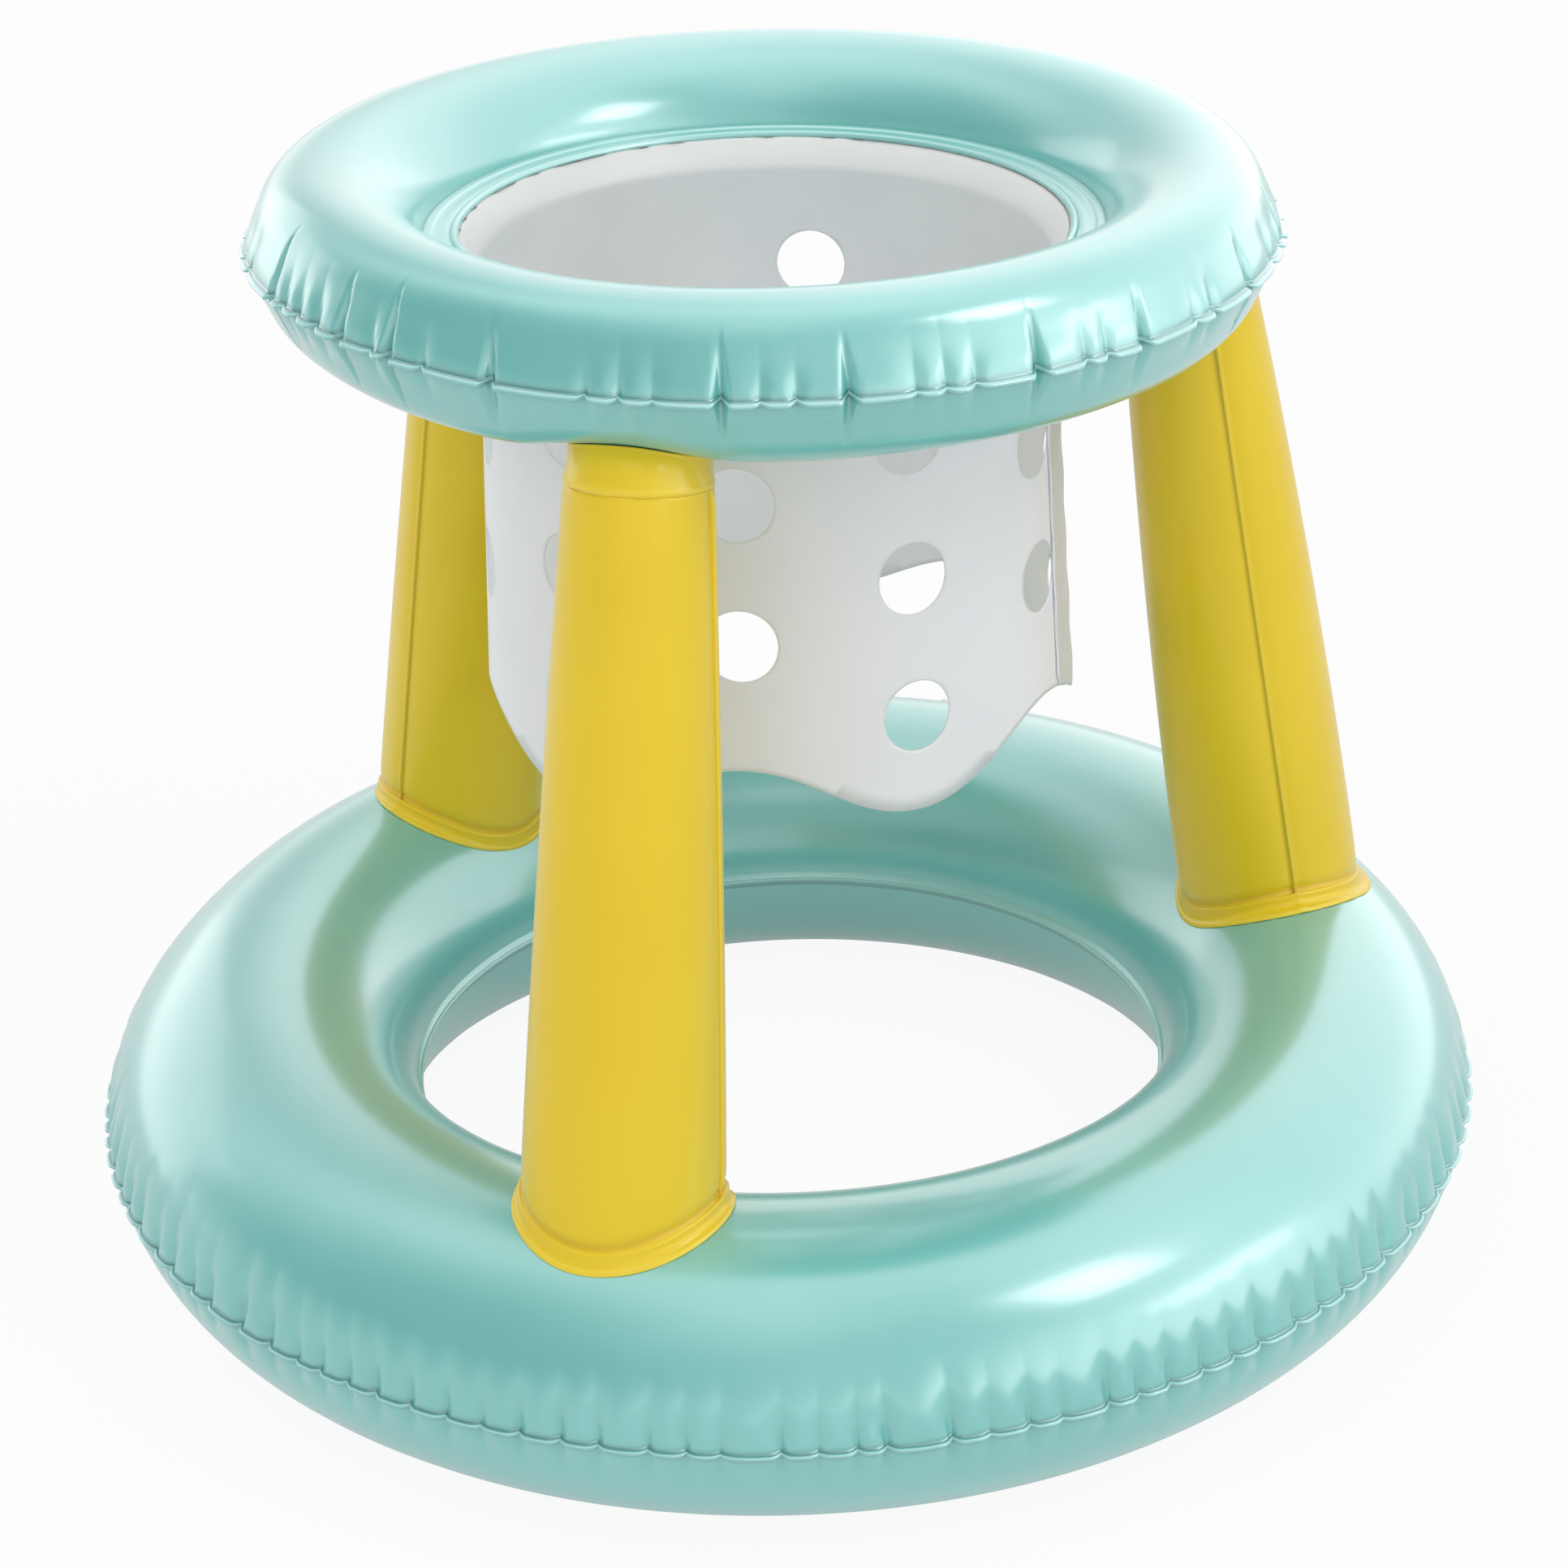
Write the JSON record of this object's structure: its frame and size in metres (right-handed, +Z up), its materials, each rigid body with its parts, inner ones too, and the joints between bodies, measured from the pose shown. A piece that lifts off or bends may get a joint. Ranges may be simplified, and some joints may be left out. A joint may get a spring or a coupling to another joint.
{
  "type": "inflatable floating hoop game",
  "caption": "Inflatable floating hoop game: fat base ring, tapered legs leaning in to a smaller hoop ring, and a hanging punched film net.",
  "frame": {"origin": "on the ground, below the middle of the base ring", "axes": "+Z up; the front leg stands on -Y, the right leg at 30 degrees and the left leg at 150 degrees from +X; the valves are at the back on +Y"},
  "size_m": [0.67, 0.67, 0.528],
  "materials": {
    "teal_vinyl": "glossy soft vinyl film",
    "yellow_vinyl": "glossy soft vinyl film",
    "white_vinyl": "satin soft vinyl film",
    "valve_vinyl": "satin moulded soft vinyl"
  },
  "bodies": {
    "inflatable": {"base_upper_panel": "teal_vinyl", "base_lower_panel": "teal_vinyl", "hoop_upper_panel": "teal_vinyl", "hoop_lower_panel": "teal_vinyl", "net": "white_vinyl", "leg_front_outer_panel": "yellow_vinyl", "leg_front_inner_panel": "yellow_vinyl", "leg_front_foot_flange": "yellow_vinyl", "leg_front_top_collar": "yellow_vinyl", "leg_right_outer_panel": "yellow_vinyl", "leg_right_inner_panel": "yellow_vinyl", "leg_right_foot_flange": "yellow_vinyl", "leg_right_top_collar": "yellow_vinyl", "leg_left_outer_panel": "yellow_vinyl", "leg_left_inner_panel": "yellow_vinyl", "leg_left_foot_flange": "yellow_vinyl", "leg_left_top_collar": "yellow_vinyl", "base_valve_flange": "valve_vinyl", "hoop_valve_flange": "valve_vinyl"},
    "base_valve_stem": {"base_valve_stem": "valve_vinyl"},
    "base_valve_plug": {"base_valve_plug": "valve_vinyl"},
    "base_valve_flap": {"base_valve_flap": "valve_vinyl"},
    "hoop_valve_stem": {"hoop_valve_stem": "valve_vinyl"},
    "hoop_valve_plug": {"hoop_valve_plug": "valve_vinyl"},
    "hoop_valve_flap": {"hoop_valve_flap": "valve_vinyl"}
  },
  "joints": [
    {"name": "base_valve_stem_slide", "type": "slide", "parent": "inflatable", "child": "base_valve_stem", "axis": [0, 0.791, 0.6118], "range_m": [0, 0.008]},
    {"name": "base_valve_plug_hinge", "type": "hinge", "parent": "base_valve_stem", "child": "base_valve_plug", "pos_m": [0, 0.31542, 0.11436], "axis": [1, 0, 0], "range_deg": [0, 150]},
    {"name": "base_valve_flap_hinge", "type": "hinge", "parent": "base_valve_stem", "child": "base_valve_flap", "pos_m": [0, 0.31196, 0.09292], "axis": [1, 0, 0], "range_deg": [0, 60], "stiffness_Nm_per_rad": 0.0003},
    {"name": "hoop_valve_stem_slide", "type": "slide", "parent": "inflatable", "child": "hoop_valve_stem", "axis": [0, 0.8937, 0.4487], "range_m": [0, 0.008]},
    {"name": "hoop_valve_plug_hinge", "type": "hinge", "parent": "hoop_valve_stem", "child": "hoop_valve_plug", "pos_m": [0, 0.22367, 0.52072], "axis": [1, 0, 0], "range_deg": [0, 150]},
    {"name": "hoop_valve_flap_hinge", "type": "hinge", "parent": "hoop_valve_stem", "child": "hoop_valve_flap", "pos_m": [0, 0.21616, 0.50034], "axis": [1, 0, 0], "range_deg": [0, 60], "stiffness_Nm_per_rad": 0.0003}
  ]
}
